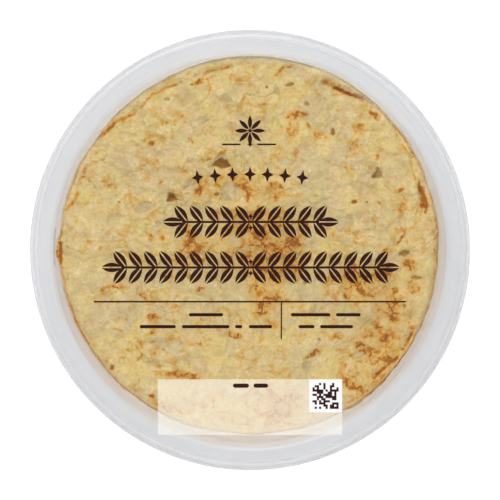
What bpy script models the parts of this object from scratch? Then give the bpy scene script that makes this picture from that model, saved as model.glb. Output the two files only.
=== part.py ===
"""A chilled Spanish omelette in its round sealed tray.

Three pieces, modelled in metres, +Z up, with the origin at the centre of the ring that the
tray stands on: the turned plastic tray, the potato omelette that lies in it, and the clear
film that is sealed over the flange.
"""

import math

import bmesh
import bpy
from mathutils import Vector, noise

# The tray, from its turned-down lip inwards. Radii and heights are of its upper face.
TRAY_RADIUS = 0.1000
HEM_WIDTH = 0.0012
FLANGE_OUTER_RADIUS = 0.0966
FLANGE_INNER_RADIUS = 0.0908
WALL_TOP_RADIUS = 0.0896
WALL_FOOT_RADIUS = 0.0850
FOOT_OUTER_RADIUS = 0.0820
FOOT_INNER_RADIUS = 0.0720
PANEL_RADIUS = 0.0695
SHEET = 0.0006
FLANGE_HEIGHT = 0.0290
PANEL_RAISE = 0.0018
LIP_DROP = 0.0030
LIP_ROUND = 0.0012
ROUND_STEPS = 3
TURN_STEPS = 96

# Pieces that touch keep this much between them.
GAP = 0.0003

# The film: a thin disc that ends on the flat of the flange.
FILM_RADIUS = 0.0964
FILM_THICKNESS = 0.0003

# The omelette: a flat-topped cake with a rounded shoulder, a side that tapers like the tray's
# wall and a smaller round under it. It lies a little off the tray's centre.
OMELETTE_X, OMELETTE_Y = -0.0007, 0.0010
OMELETTE_RADIUS = 0.0853
OMELETTE_THICKNESS = 0.0228
SHOULDER_WIDTH = 0.0062
SHOULDER_DROP = 0.0085
SIDE_TAPER = 0.0020
UNDER_WIDTH = 0.0048
UNDER_RISE = 0.0062
GRID_CELLS = 43
SHOULDER_RINGS = 5
SIDE_RINGS = 2
UNDER_RINGS = 3

# Unevenness of the cooked surface: height or reach of each kind, and the size it repeats at.
SWELL_HEIGHT, SWELL_SIZE = 0.0008, 0.046
LUMP_HEIGHT, LUMP_SIZE = 0.0007, 0.013
OUTLINE_WANDER, OUTLINE_SIZE = 0.0007, 0.050
SIDE_BULGE, SIDE_BULGE_SIZE = 0.0006, 0.014

# Folds where the skin turned over at the rim of the pan: (half-width, depth, points), in mm.
FOLDS = [
    (2.0, 0.9, [(-83, 18), (-77, 31), (-68, 51), (-52, 62), (-38, 73), (-22, 79), (-8, 83)]),
    (2.2, 1.4, [(34, 75.5), (43.5, 71), (52, 68)]),
    (1.8, 0.6, [(52, 68), (65, 56.5), (73, 41.5), (77, 32)]),
    (2.2, 1.3, [(77.5, 30), (78.5, 24), (79.5, 18)]),
    (1.8, 0.9, [(74, -38), (66.5, -49), (56, -58)]),
    (1.8, 0.6, [(-85, -8), (-79, -31), (-63, -57)]),
]

# Hollows beside the potato that shows: (x, y, length, width, depth, turn in degrees), in mm.
HOLLOWS = [
    (-13.5, 39.0, 9.0, 5.0, 1.6, 0),
    (-34.5, 24.0, 7.5, 4.5, 1.6, -33),
    (58.0, 34.5, 6.5, 5.5, 1.2, 65),
    (70.0, -1.5, 6.5, 4.5, 1.6, 15),
    (75.5, -12.5, 6.5, 4.0, 1.0, -10),
    (43.0, 12.0, 10.0, 8.0, 0.8, 20),
    (-8.5, 26.5, 10.0, 8.0, 1.0, 0),
    (-22.5, 58.5, 10.0, 6.0, 0.9, 5),
    (-48.0, 19.0, 8.5, 5.0, 0.7, 0),
    (-38.0, -43.0, 10.0, 6.0, 1.0, 30),
    (26.0, -52.5, 6.0, 6.5, 1.0, 0),
    (52.0, -25.0, 9.0, 5.0, 0.8, -10),
]


def clear_scene():
    for obj in list(bpy.data.objects):
        bpy.data.objects.remove(obj, do_unlink=True)


def make_material(name, colour, roughness, alpha=1.0):
    """A Principled finish with one colour, and see-through where alpha is below one."""
    material = bpy.data.materials.new(name)
    material.use_nodes = True
    shader = material.node_tree.nodes["Principled BSDF"]
    shader.inputs["Base Color"].default_value = (*colour, 1.0)
    shader.inputs["Roughness"].default_value = roughness
    shader.inputs["Metallic"].default_value = 0.0
    shader.inputs["Alpha"].default_value = alpha
    return material


def add_object(name, mesh, material, collection):
    obj = bpy.data.objects.new(name, mesh)
    obj.data.materials.append(material)
    collection.objects.link(obj)
    return obj


def arc(centre, radius, start, end):
    """Points of a round corner in the profile's plane. Angles are in degrees from +X."""
    points = []
    for step in range(ROUND_STEPS + 1):
        angle = math.radians(start + (end - start) * step / ROUND_STEPS)
        points.append((centre[0] + radius * math.cos(angle), centre[1] + radius * math.sin(angle)))
    return points


def tray_profile():
    """The tray's upper face from its axis to its lip, as (radius, height) pairs."""
    foot_height = SHEET
    panel_height = SHEET + PANEL_RAISE
    draft = math.degrees(
        math.atan2(WALL_TOP_RADIUS - WALL_FOOT_RADIUS, FLANGE_HEIGHT - foot_height)
    )
    foot_round = WALL_FOOT_RADIUS - FOOT_OUTER_RADIUS
    rim_round = FLANGE_INNER_RADIUS - WALL_TOP_RADIUS
    hem_height = FLANGE_HEIGHT - LIP_DROP
    points = [(0.0, panel_height), (PANEL_RADIUS, panel_height), (FOOT_INNER_RADIUS, foot_height)]
    points += arc((FOOT_OUTER_RADIUS, foot_height + foot_round), foot_round, -90, -draft)
    points += arc((FLANGE_INNER_RADIUS, FLANGE_HEIGHT - rim_round), rim_round, 180 - draft, 90)
    points += arc((FLANGE_OUTER_RADIUS, FLANGE_HEIGHT - LIP_ROUND), LIP_ROUND, 90, 20)
    points += [(TRAY_RADIUS - HEM_WIDTH, hem_height), (TRAY_RADIUS, hem_height - SHEET / 2)]
    return points


def make_tray(collection):
    """One sheet of translucent plastic, drawn down into a dish: a turned profile with a wall."""
    points = tray_profile()
    mesh = bpy.data.meshes.new("tray")
    edges = [(index, index + 1) for index in range(len(points) - 1)]
    mesh.from_pydata([(radius, 0.0, height) for radius, height in points], edges, [])
    plastic = make_material("tray_plastic", (0.74, 0.75, 0.77), 0.32, alpha=0.6)
    tray = add_object("tray", mesh, plastic, collection)
    turn = tray.modifiers.new("turn", "SCREW")
    turn.steps = TURN_STEPS
    turn.render_steps = TURN_STEPS
    turn.use_merge_vertices = True
    turn.merge_threshold = 0.00005
    turn.use_normal_calculate = True
    wall = tray.modifiers.new("wall", "SOLIDIFY")
    wall.thickness = SHEET
    wall.offset = -1.0
    wall.use_even_offset = True
    return tray


def on_disc(u, v):
    """A point of the square from -1 to 1 as (share of the radius, angle) on a round disc."""
    if u == 0.0 and v == 0.0:
        return 0.0, 0.0
    if abs(u) >= abs(v):
        turn = math.pi / 4 * v / u + (math.pi if u < 0 else 0.0)
        return abs(u), turn
    turn = math.pi / 2 - math.pi / 4 * u / v + (math.pi if v < 0 else 0.0)
    return abs(v), turn


def outline_radius(angle):
    """How far the omelette reaches at this angle: nearly round, and never quite."""
    place = Vector((math.cos(angle), math.sin(angle), 0.3)) * (OMELETTE_RADIUS / OUTLINE_SIZE)
    return OMELETTE_RADIUS + OUTLINE_WANDER * noise.noise(place)


def distance_to_line(x, y, points):
    """How far a place is from the nearest of the straight runs between these points."""
    nearest = math.inf
    for (start_x, start_y), (end_x, end_y) in zip(points, points[1:]):
        run_x, run_y = end_x - start_x, end_y - start_y
        share = ((x - start_x) * run_x + (y - start_y) * run_y) / (run_x**2 + run_y**2)
        share = min(1.0, max(0.0, share))
        nearest = min(nearest, math.hypot(x - start_x - share * run_x, y - start_y - share * run_y))
    return nearest


def folds(x, y):
    """Depth of the folds near the rim at this place."""
    depth = 0.0
    for half_width, deep, points in FOLDS:
        away = distance_to_line(x * 1000, y * 1000, points)
        depth = max(depth, deep / 1000 * math.exp(-((away / half_width) ** 2)))
    return depth


def hollows(x, y):
    """Depth of the hollows beside the potato pieces at this place."""
    depth = 0.0
    for centre_x, centre_y, length, width, deep, turn in HOLLOWS:
        away_x, away_y = x * 1000 - centre_x, y * 1000 - centre_y
        cos, sin = math.cos(math.radians(turn)), math.sin(math.radians(turn))
        along = (away_x * cos + away_y * sin) / (length / 2)
        across = (away_y * cos - away_x * sin) / (width / 2)
        depth += deep / 1000 * math.exp(-(along**2 + across**2))
    return depth


def relief(x, y):
    """Height of the cooked top over a flat one: swells, lumps of potato, hollows and folds."""
    swell = SWELL_HEIGHT * noise.noise(Vector((x, y, 0.7)) / SWELL_SIZE)
    lump = LUMP_HEIGHT * noise.noise(Vector((x, y, 0.1)) / LUMP_SIZE)
    return swell + lump - hollows(x, y) - folds(x, y)


def make_omelette(collection):
    """A grid drawn into a disc, its edge carried down in rings, and closed underneath."""
    bottom = SHEET + PANEL_RAISE + GAP
    top = bottom + OMELETTE_THICKNESS
    shape = bmesh.new()
    bmesh.ops.create_grid(shape, x_segments=GRID_CELLS, y_segments=GRID_CELLS, size=1.0)
    for vertex in shape.verts:
        share, angle = on_disc(vertex.co.x, vertex.co.y)
        flat_radius = outline_radius(angle) - SHOULDER_WIDTH
        radius = flat_radius * share
        x = OMELETTE_X + radius * math.cos(angle)
        y = OMELETTE_Y + radius * math.sin(angle)
        vertex.co = Vector((x, y, top + relief(x, y)))

    rim = [edge for edge in shape.edges if edge.is_boundary]
    for ring in range(1, SHOULDER_RINGS + SIDE_RINGS + UNDER_RINGS + 1):
        made = bmesh.ops.extrude_edge_only(shape, edges=rim)["geom"]
        rim = [item for item in made if isinstance(item, bmesh.types.BMEdge)]
        for vertex in [item for item in made if isinstance(item, bmesh.types.BMVert)]:
            angle = math.atan2(vertex.co.y - OMELETTE_Y, vertex.co.x - OMELETTE_X)
            place_on_side(vertex, angle, ring, bottom, top)
    bmesh.ops.edgeloop_fill(shape, edges=rim)
    bmesh.ops.recalc_face_normals(shape, faces=shape.faces)

    mesh = bpy.data.meshes.new("omelette")
    shape.to_mesh(mesh)
    shape.free()
    mesh.shade_smooth()
    egg = make_material("cooked_egg", (0.62, 0.44, 0.18), 0.5)
    return add_object("omelette", mesh, egg, collection)


def place_on_side(vertex, angle, ring, bottom, top):
    """Puts a point of one ring on the shoulder, the side or the round under the omelette."""
    reach = outline_radius(angle)
    if ring <= SHOULDER_RINGS:
        turn = math.pi / 2 * ring / SHOULDER_RINGS
        inset = SHOULDER_WIDTH * (1 - math.sin(turn))
        height = top - SHOULDER_DROP * (1 - math.cos(turn))
    elif ring <= SHOULDER_RINGS + SIDE_RINGS:
        share = (ring - SHOULDER_RINGS) / SIDE_RINGS
        inset = SIDE_TAPER * share
        height = top - SHOULDER_DROP + share * (bottom + UNDER_RISE - top + SHOULDER_DROP)
    else:
        turn = math.pi / 2 * (ring - SHOULDER_RINGS - SIDE_RINGS) / UNDER_RINGS
        inset = SIDE_TAPER + UNDER_WIDTH * (1 - math.cos(turn))
        height = bottom + UNDER_RISE * (1 - math.sin(turn))
    outwards = Vector((math.cos(angle), math.sin(angle), 0.0))
    place = Vector((OMELETTE_X, OMELETTE_Y, height)) + outwards * (reach - inset)
    share_of_height = (height - bottom) / (top - bottom)
    bulge = SIDE_BULGE * noise.noise(place / SIDE_BULGE_SIZE) * math.sin(math.pi * share_of_height)
    settled = relief(place.x, place.y) * max(0.0, 2 * share_of_height - 1)
    vertex.co = place + outwards * bulge + Vector((0.0, 0.0, settled))


def make_film(collection):
    """The sealed film, a flat clear disc on the flange."""
    shape = bmesh.new()
    bmesh.ops.create_cone(
        shape,
        cap_ends=True,
        segments=TURN_STEPS,
        radius1=FILM_RADIUS,
        radius2=FILM_RADIUS,
        depth=FILM_THICKNESS,
    )
    mesh = bpy.data.meshes.new("lid_film")
    shape.to_mesh(mesh)
    shape.free()
    clear = make_material("clear_film", (0.9, 0.9, 0.9), 0.12, alpha=0.2)
    film = add_object("lid_film", mesh, clear, collection)
    film.location = (0.0, 0.0, FLANGE_HEIGHT + GAP + FILM_THICKNESS / 2)
    return film


def main():
    clear_scene()
    collection = bpy.data.collections.new("spanish_omelette_in_tray")
    bpy.context.scene.collection.children.link(collection)
    make_tray(collection)
    make_omelette(collection)
    make_film(collection)


main()
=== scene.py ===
from math import asin, atan2, cos, degrees, exp, hypot, pi, radians, sin

import bpy
import numpy as np
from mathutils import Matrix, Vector, noise


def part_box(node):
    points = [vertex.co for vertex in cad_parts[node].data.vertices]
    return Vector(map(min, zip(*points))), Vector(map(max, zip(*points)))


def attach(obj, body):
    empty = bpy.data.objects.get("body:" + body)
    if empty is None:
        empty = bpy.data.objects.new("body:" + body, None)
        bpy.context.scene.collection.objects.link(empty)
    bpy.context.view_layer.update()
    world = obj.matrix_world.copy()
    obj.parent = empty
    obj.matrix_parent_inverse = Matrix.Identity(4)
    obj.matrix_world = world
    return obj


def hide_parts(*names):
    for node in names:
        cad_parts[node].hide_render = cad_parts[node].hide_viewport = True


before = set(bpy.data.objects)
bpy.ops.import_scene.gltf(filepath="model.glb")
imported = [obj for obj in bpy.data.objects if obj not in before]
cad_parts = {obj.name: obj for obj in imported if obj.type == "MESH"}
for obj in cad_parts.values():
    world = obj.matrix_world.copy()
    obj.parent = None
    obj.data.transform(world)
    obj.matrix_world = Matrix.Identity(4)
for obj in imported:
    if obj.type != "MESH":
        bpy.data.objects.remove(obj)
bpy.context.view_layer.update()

# The place the pack is photographed in: a white sweep lit by two large softboxes, one at the
# head of the pack and one at its foot, with white all round. The camera hangs straight above
# and frames the tray with a narrow margin.
CAMERA_HEIGHT = 1.30
TRAY_SHARE_OF_VIEW = 440.6 / 500
HEM_BELOW_FLANGE = 0.0030
FLOOR_SIZE, FLOOR_LEVEL = 4.0, -0.0002
FLOOR_SHADE, FLOOR_ROUGHNESS, FLOOR_GLOW = 0.72, 0.9, 0.56
SKY_STRENGTH = 0.28
WHITE = (1.0, 1.0, 1.0, 1.0)
SOFTBOXES = (
    ("head_softbox", (-0.16, 1.35, 1.15), 0.9, 23.2),
    ("foot_softbox", (0.03, -0.80, 0.66), 0.7, 5.6),
)
tray_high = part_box("tray")[1]
flange_height, tray_radius = tray_high.z, tray_high.x

camera_data = bpy.data.cameras.new("camera")
camera = bpy.data.objects.new("camera", camera_data)
bpy.context.scene.collection.objects.link(camera)
camera.location = (0.0, 0.0, CAMERA_HEIGHT)
view_width = 2 * tray_radius / TRAY_SHARE_OF_VIEW
hem_distance = CAMERA_HEIGHT - (flange_height - HEM_BELOW_FLANGE)
camera_data.lens = camera_data.sensor_width * hem_distance / view_width
bpy.context.scene.camera = camera
bpy.context.scene.view_settings.view_transform = "Standard"

bpy.ops.mesh.primitive_plane_add(size=FLOOR_SIZE, location=(0.0, 0.0, FLOOR_LEVEL))
floor = bpy.context.object
floor.name = "floor"
floor_paint = bpy.data.materials.new("white_sweep")
floor_paint.use_nodes = True
floor_shader = floor_paint.node_tree.nodes["Principled BSDF"]
floor_shader.inputs["Base Color"].default_value = (FLOOR_SHADE, FLOOR_SHADE, FLOOR_SHADE, 1.0)
floor_shader.inputs["Roughness"].default_value = FLOOR_ROUGHNESS
floor_shader.inputs["Emission Color"].default_value = WHITE
floor_shader.inputs["Emission Strength"].default_value = FLOOR_GLOW
floor.data.materials.append(floor_paint)

world = bpy.data.worlds.new("white_room")
bpy.context.scene.world = world
world.use_nodes = True
world.node_tree.nodes["Background"].inputs["Color"].default_value = WHITE
world.node_tree.nodes["Background"].inputs["Strength"].default_value = SKY_STRENGTH

for name, spot, width, watts in SOFTBOXES:
    light = bpy.data.lights.new(name, "AREA")
    light.shape = "SQUARE"
    light.size = width
    light.energy = watts
    softbox = bpy.data.objects.new(name, light)
    bpy.context.scene.collection.objects.link(softbox)
    softbox.location = spot
    softbox.rotation_euler = (-Vector(spot)).to_track_quat("-Z", "Y").to_euler()


# The tray: one sheet of milky, translucent plastic, drawn hot into a round dish. A raised
# panel, the ring it stands on, a steep wall and a wide flat flange are all one skin, and the
# flange ends in a turned-down lip with a narrow hem.
TRAY_SHEET, TRAY_SIDES = 0.0006, 224
TRAY_PANEL_RADIUS, TRAY_PANEL_RAISE, TRAY_PANEL_INSET = 0.0695, 0.0018, 0.0006
TRAY_FOOT_OUTER, TRAY_WALL_FOOT, TRAY_WALL_TOP = 0.0824, 0.0850, 0.0890
TRAY_FLANGE_INNER, TRAY_FLANGE_OUTER = 0.0915, 0.0966
TRAY_BEAD, TRAY_BEAD_WIDTH, TRAY_BEAD_RISE = 0.0957, 0.0010, 0.00022
TRAY_LIP_ROUND, TRAY_LIP_END, TRAY_HEM = 0.0012, 20, 0.0015
TRAY_SMOOTH_BELOW = radians(35)

# Its forms: the step down from the panel as (radius, share of its raise), the bead as (share
# of its width, share of its rise), and the hem as (share of its width, height).
STEP_FORM = ((0.0703, 0.80), (0.0715, 0.12), (0.0724, 0.0))
BEAD_FORM = ((-0.5, 0.0), (-0.2, 1.0), (0.2, 1.0), (0.5, 0.0))
HEM_FORM = ((-2 / 15, 0.0003), (0, 0), (0.3, 0.0002), (0.5, 0.0003), (0.75, 0.0002), (1, -0.0003))

# Its plastic: streaks drawn round the flange, shades, a darker ring at its outer edge, the wall
# beside the omelette tinted warm, partly by oil and partly as a painted reflection of the
# omelette, and a painted reflection of the omelette's brown rim at one side of that wall.
STREAK_WIDTH, STREAK_TURN, PLASTIC_BUMP = 0.0010, 0.0016, 0.0004
PLASTIC_GREY, PLASTIC_PALE, PLASTIC_EDGE_DARK = (0.475, 0.492, 0.528), (0.580, 0.597, 0.636), (0.42, 0.42, 0.44)
EDGE_DARK_FROM, EDGE_DARK_TO = tray_radius - 0.0006, tray_radius - 0.0001
WALL_OIL_AND_REFLECTION, WARM_WALL_FROM, WARM_WALL_TO = (0.860, 0.785, 0.665), 0.0862, 0.0902
RIM_REFLECTION_COLOUR, RIM_REFLECTION_RADIUS, RIM_REFLECTION_HALF_WIDTH = (0.270, 0.190, 0.150), 0.0889, 0.0005
RIM_REFLECTION_MIDDLE, RIM_REFLECTION_HALF_LENGTH, RIM_REFLECTION_SIDE = 0.0014, 0.0100, -0.01


class Wire:
    """One output of a material's node. Sums and products of wires add Math nodes."""

    def __init__(self, socket):
        self.socket = socket
        self.tree = socket.id_data

    def node(self, kind, settings=None, inputs=None, output=0):
        """Adds a node of any kind: its settings first, then the values or wires it takes in."""
        made = self.tree.nodes.new(kind)
        for name, value in (settings or {}).items():
            if name == "stops":
                ramp = made.color_ramp.elements
                while len(ramp) < len(value):
                    ramp.new(0.5)
                for stop, (position, colour) in zip(ramp, value):
                    stop.position = position
                    stop.color = (*colour, 1.0)
            else:
                setattr(made, name, value)
        plug(made, inputs or {})
        return Wire(made.outputs[output])

    def math(self, operation, *values):
        return self.node("ShaderNodeMath", {"operation": operation}, dict(enumerate(values)))

    def __add__(self, other):
        return self.math("ADD", self, other)

    __radd__ = __add__

    def __mul__(self, other):
        return self.math("MULTIPLY", self, other)

    __rmul__ = __mul__

    def __sub__(self, other):
        return self.math("SUBTRACT", self, other)

    def __rsub__(self, other):
        return self.math("SUBTRACT", other, self)

    def __pow__(self, other):
        return self.math("POWER", self, other)

    def size(self):
        """How far the wire is from 0, either way."""
        return self.math("ABSOLUTE", self)

    def vector(self, operation, *others, output=0):
        inputs = dict(enumerate((self, *others)))
        return self.node("ShaderNodeVectorMath", {"operation": operation}, inputs, output)

    def along(self, axis):
        """How far the place on this wire is along X, Y or Z."""
        return self.node("ShaderNodeSeparateXYZ", None, {"Vector": self}, axis)

    def step(self, low, high):
        """0 below low, 1 above high, and a smooth step between them."""
        inputs = {"Value": self, "From Min": low, "From Max": high}
        return self.node("ShaderNodeMapRange", {"interpolation_type": "SMOOTHSTEP"}, inputs)

    def mix(self, under, over):
        """The colour under, with over laid on it by this wire."""
        under, over = (c if isinstance(c, Wire) else (*c, 1.0) for c in (under, over))
        inputs = {0: self, 6: under, 7: over}
        return self.node("ShaderNodeMix", {"data_type": "RGBA"}, inputs, output=2)

    def noise(self, size, detail=3.0, roughness=0.5, distortion=0.0, output=0):
        """Noise whose lumps are about this size in metres, read at this place."""
        inputs = {"Vector": self, "Scale": 1.0 / size, "Detail": detail}
        inputs |= {"Roughness": roughness, "Distortion": distortion}
        return self.node("ShaderNodeTexNoise", None, inputs, output)

    def bump(self, height, distance):
        """A normal for a surface raised by this much where the wire is 1, in metres."""
        return self.node("ShaderNodeBump", None, {"Height": height, "Distance": distance})


def plug(node, values):
    """Sets a node's sockets, by name or number, and links those whose value is a wire."""
    for name, value in values.items():
        if isinstance(value, Wire):
            value.tree.links.new(value.socket, node.inputs[name])
        else:
            node.inputs[name].default_value = value


def finish(name):
    """A new material: itself, its Principled shader and a wire of Object coordinates."""
    material = bpy.data.materials.new(name)
    material.use_nodes = True
    tree = material.node_tree
    coordinates = tree.nodes.new("ShaderNodeTexCoord")
    return material, tree.nodes["Principled BSDF"], Wire(coordinates.outputs["Object"])


def corner(centre, radius, start, end, steps=8):
    """A round corner of a profile, as (radius, height) pairs. An angle of 0 is outwards."""
    turns = [radians(start + (end - start) * step / steps) for step in range(steps + 1)]
    return [(centre[0] + radius * cos(t), centre[1] + radius * sin(t)) for t in turns]


def tray_profile():
    """The tray's upper face from the edge of its raised panel to the hem."""
    foot, hem = TRAY_SHEET, flange_height - HEM_BELOW_FLANGE
    draft = degrees(atan2(TRAY_WALL_TOP - TRAY_WALL_FOOT, flange_height - foot))
    foot_round = TRAY_WALL_FOOT - TRAY_FOOT_OUTER
    rim_round = TRAY_FLANGE_INNER - TRAY_WALL_TOP
    lip_centre = (TRAY_FLANGE_OUTER, flange_height - TRAY_LIP_ROUND)
    hem_inner = tray_radius - TRAY_HEM
    profile = [(radius, foot + share * TRAY_PANEL_RAISE) for radius, share in STEP_FORM]
    profile += corner((TRAY_FOOT_OUTER, foot + foot_round), foot_round, -90, -draft)
    profile += corner((TRAY_FLANGE_INNER, flange_height - rim_round), rim_round, 180 - draft, 90)
    for share, rise in BEAD_FORM:
        profile.append((TRAY_BEAD + share * TRAY_BEAD_WIDTH, flange_height + rise * TRAY_BEAD_RISE))
    profile += corner(lip_centre, TRAY_LIP_ROUND, 90, TRAY_LIP_END, steps=7)
    return profile + [(hem_inner + share * TRAY_HEM, hem + rise) for share, rise in HEM_FORM]


def grow_rings(profile):
    """Extrudes the selected rim of the open mesh out to each (radius, height) in turn."""
    for (radius, height), (next_radius, next_height) in zip(profile, profile[1:]):
        rise = {"value": (0.0, 0.0, next_height - height)}
        bpy.ops.mesh.extrude_edges_move(TRANSFORM_OT_translate=rise)
        share = next_radius / radius
        centre = (0.0, 0.0, next_height)
        bpy.ops.transform.resize(value=(share, share, 1.0), center_override=centre)


def thicken(piece, name, thickness, offset, even=False):
    """Turns the active sheet's faces up and gives it its thickness, below or above them."""
    bpy.ops.object.mode_set(mode="EDIT")
    bpy.ops.mesh.select_all(action="SELECT")
    bpy.ops.mesh.normals_make_consistent(inside=False)
    bpy.ops.object.mode_set(mode="OBJECT")
    if sum(face.normal.z * face.area for face in piece.data.polygons) < 0:
        piece.data.flip_normals()
    solid = piece.modifiers.new(name, "SOLIDIFY")
    solid.thickness = thickness
    solid.offset = offset
    solid.use_even_offset = even
    bpy.ops.object.modifier_apply(modifier=name)


panel_height = TRAY_SHEET + TRAY_PANEL_RAISE
bpy.ops.mesh.primitive_circle_add(
    vertices=TRAY_SIDES,
    radius=TRAY_PANEL_RADIUS,
    fill_type="NGON",
    location=(0.0, 0.0, panel_height),
    enter_editmode=True,
)
bpy.ops.mesh.inset(thickness=TRAY_PANEL_INSET)
bpy.ops.mesh.select_all(action="DESELECT")
bpy.ops.mesh.select_non_manifold(extend=False)
grow_rings([(TRAY_PANEL_RADIUS, panel_height)] + tray_profile())
bpy.ops.object.mode_set(mode="OBJECT")
tray = bpy.context.object
tray.name = "milky_tray"
bpy.ops.object.transform_apply()
thicken(tray, "wall", TRAY_SHEET, -1.0, even=True)
bpy.ops.object.shade_smooth_by_angle(angle=TRAY_SMOOTH_BELOW)

milk, milk_shader, place = finish("milky_plastic")
cloud = place.noise(size=0.018, detail=4.0)
grain = place.noise(size=0.0012, detail=2.0)
across = place.vector("MULTIPLY", (1.0, 1.0, 0.0))
from_centre = across.vector("LENGTH", output="Value")
ring_place = across.vector("NORMALIZE").vector("MULTIPLY", (STREAK_TURN, STREAK_TURN, 0.0))
ring_height = place.node("ShaderNodeCombineXYZ", None, {"Z": from_centre})
drawn_rings = ring_place.vector("ADD", ring_height).noise(STREAK_WIDTH, detail=2.0, roughness=0.6)

# The plastic is a cool grey, paler along the streaks where it was stretched, and darker in a thin
# ring at its outer edge. The wall beside the omelette is tinted warm: partly a trace of oil, and
# partly a painted reflection of the omelette and of the light it throws back.
paler = (cloud - 0.5) * 0.4 + (drawn_rings - 0.5) * 0.6 + 0.5
plastic = paler.mix(PLASTIC_GREY, PLASTIC_PALE)
plastic = (from_centre.step(EDGE_DARK_FROM, EDGE_DARK_TO) * 0.5).mix(plastic, PLASTIC_EDGE_DARK)
oil_and_reflection = (1 - from_centre.step(WARM_WALL_FROM, WARM_WALL_TO)) * (0.62 + cloud * 0.7)
plastic = oil_and_reflection.mix(plastic, WALL_OIL_AND_REFLECTION)
# A painted reflection of the omelette's brown rim: a short brown streak on the wall at one side.
off_rim_reflection = (from_centre - RIM_REFLECTION_RADIUS).size() * (1 / RIM_REFLECTION_HALF_WIDTH)
past_rim_reflection = (place.along("Y") - RIM_REFLECTION_MIDDLE).size() * (1 / RIM_REFLECTION_HALF_LENGTH)
rim_reflection = (1 - off_rim_reflection).step(0.0, 0.7) * (1 - past_rim_reflection).step(0.0, 0.3)
rim_reflection = rim_reflection * (1 - place.along("X").step(RIM_REFLECTION_SIDE, 0.0)) * (grain * 1.6 - 0.1)
plug(milk_shader, {
    "Base Color": rim_reflection.mix(plastic, RIM_REFLECTION_COLOUR),
    "Roughness": grain * 0.08 + 0.17,
    "Alpha": 0.44,
    "IOR": 1.49,
    "Subsurface Weight": 0.7,
    "Subsurface Radius": (1.0, 1.0, 1.0),
    "Subsurface Scale": 0.004,
    "Normal": place.bump(cloud * 0.12 + grain * 0.05 + drawn_rings * 0.06, PLASTIC_BUMP),
})
tray.data.materials.append(milk)
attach(tray, "root")
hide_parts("tray")


# The omelette: beaten egg set round sliced potato and onion, fried on both faces and slid
# into the tray. Its skin is pale yellow with an uneven lace of browning, the potato shows as
# smooth greyish patches, and the skin folded over near the rim where it was turned.
EGG_X, EGG_Y = -0.0005, 0.0016
EGG_RADIUS, EGG_THICKNESS, EGG_CELLS = 0.0866, 0.0228, 276
SHOULDER_WIDTH, SHOULDER_DROP, DROP_BY_GAP = 0.0036, 0.0013, 1.8
SIDE_TAPER, UNDER_WIDTH, UNDER_RISE = 0.0016, 0.0048, 0.0062
SIDE_BULGE, SIDE_BULGE_SIZE, SIDE_PALE_BELOW = 0.0006, 0.014, 0.0010
SHOULDER_RINGS, SIDE_RINGS, UNDER_RINGS = 9, 6, 4
EGG_CLEAR_OF_WALL = 0.0002

# Unevenness of the cooked top: height or reach of each kind, and the size it repeats at.
SWELL_HEIGHT, SWELL_SIZE = 0.0008, 0.046
LUMP_HEIGHT, LUMP_SIZE = 0.0015, 0.011
GRAIN_HEIGHT, GRAIN_SIZE = 0.00080, 0.0048
CRUMB_HEIGHT, CRUMB_SIZE = 0.00040, 0.0018
SLICE_SPACING, SLICE_SHADE_SCALE, SLICE_BLEND = 0.0105, 3.7, 0.16
SEAM_DEPTH, SEAM_WIDTH, SEAM_PATCH, SLICE_RISE = 0.00045, 0.075, 0.016, 0.00050
TEAR_EDGE, TEAR_SLOPE = 0.35, 0.75
OUTLINE_WANDER, OUTLINE_SIZE, RIM_FADE = 0.0004, 0.020, 1.2
OUTLINE_RAGGED, OUTLINE_RAGGED_SIZE, OUTLINE_INWARDS = 0.0004, 0.0040, 0.3
PIT_DEPTH, LINE_DEPTH, POTATO_SINK = 0.0006, 0.00045, 0.00040
MARK_WANDER, MARK_WANDER_SIZE = 0.0016, 0.0065
MARK_RAGGED, MARK_RAGGED_SIZE = 0.0006, 0.0020
LINE_WANDER, LINE_REACH, LINE_FAR = 0.4, 2.2, 6.0
PIT_SOFT, POTATO_SOFT, BROWN_SOFT, WARM_SOFT = 0.35, 0.40, 0.42, 1.0

# What the omelette's own shape and marks are, in mm and degrees. Where its outline bulges or
# draws in: (angle, half-width, how far).
BULGES = [
    (68, 26, 0.6), (138, 34, -1.2), (179.6, 2.4, 1.4), (183, 2.4, 1.4), (270, 20, -0.8), (312, 26, 0.7),
]

# Where the edge of its skin is browned: (angle, half-width, how dark).
EDGE_BROWNING = [
    (8, 34, 0.85), (42, 15, 0.75), (82, 9, 0.25), (138, 13, 0.55), (160, 14, 0.7), (181, 7, 1.3),
    (205, 22, 0.95), (238, 22, 0.75), (272, 14, 0.75), (318, 30, 1),
]
EDGE_LINE_INSET, EDGE_LINE_WIDTH = 0.0009, 0.0005

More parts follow.
